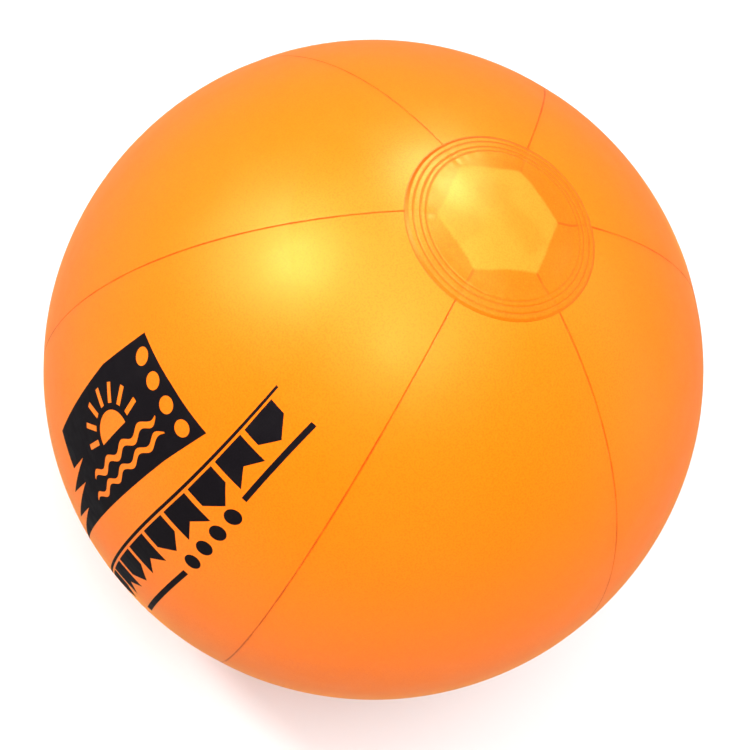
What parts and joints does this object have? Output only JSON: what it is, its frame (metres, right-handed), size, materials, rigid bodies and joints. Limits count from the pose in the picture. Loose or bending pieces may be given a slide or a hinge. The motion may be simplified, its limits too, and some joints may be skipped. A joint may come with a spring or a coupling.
{
  "type": "inflatable beach ball",
  "caption": "Round inflatable ball of welded orange gore panels with a disc over each pole and a push-in valve with a stopper on a strap.",
  "frame": {"origin": "centre of the ball", "axes": "+Z through the middle of the top opening and end disc, +Y out through the valve, panel_front on -Y"},
  "size_m": [0.305, 0.3085, 0.3056],
  "materials": {
    "film": "translucent orange PVC film with a soft pearl sheen",
    "valve": "milky soft PVC, semi-gloss",
    "print_ink": "black screen-printed ink"
  },
  "bodies": {
    "ball": {"panel_front": "film", "panel_front_right": "film", "panel_back_right": "film", "panel_back": "film", "panel_back_left": "film", "panel_front_left": "film", "end_disc_top": "film", "end_disc_bottom": "film", "valve_flange": "valve", "valve_boot": "valve"},
    "stem": {"valve_stem": "valve"},
    "plug": {"valve_plug": "valve", "plug_strap": "valve"},
    "flap": {"check_flap": "valve"}
  },
  "joints": [
    {"name": "valve_slide", "type": "slide", "parent": "ball", "child": "stem", "axis": [0, 1, 0], "range_m": [0, 0.008]},
    {"name": "plug_swing", "type": "hinge", "parent": "stem", "child": "plug", "pos_m": [0, 0.1542, -0.0095], "axis": [-1, 0, 0], "range_deg": [0, 150]},
    {"name": "flap_swing", "type": "hinge", "parent": "stem", "child": "flap", "pos_m": [0, 0.1399, -0.0042], "axis": [1, 0, 0], "range_deg": [0, 60], "stiffness_Nm_per_rad": 0.0002, "springref_deg": -11.46}
  ]
}
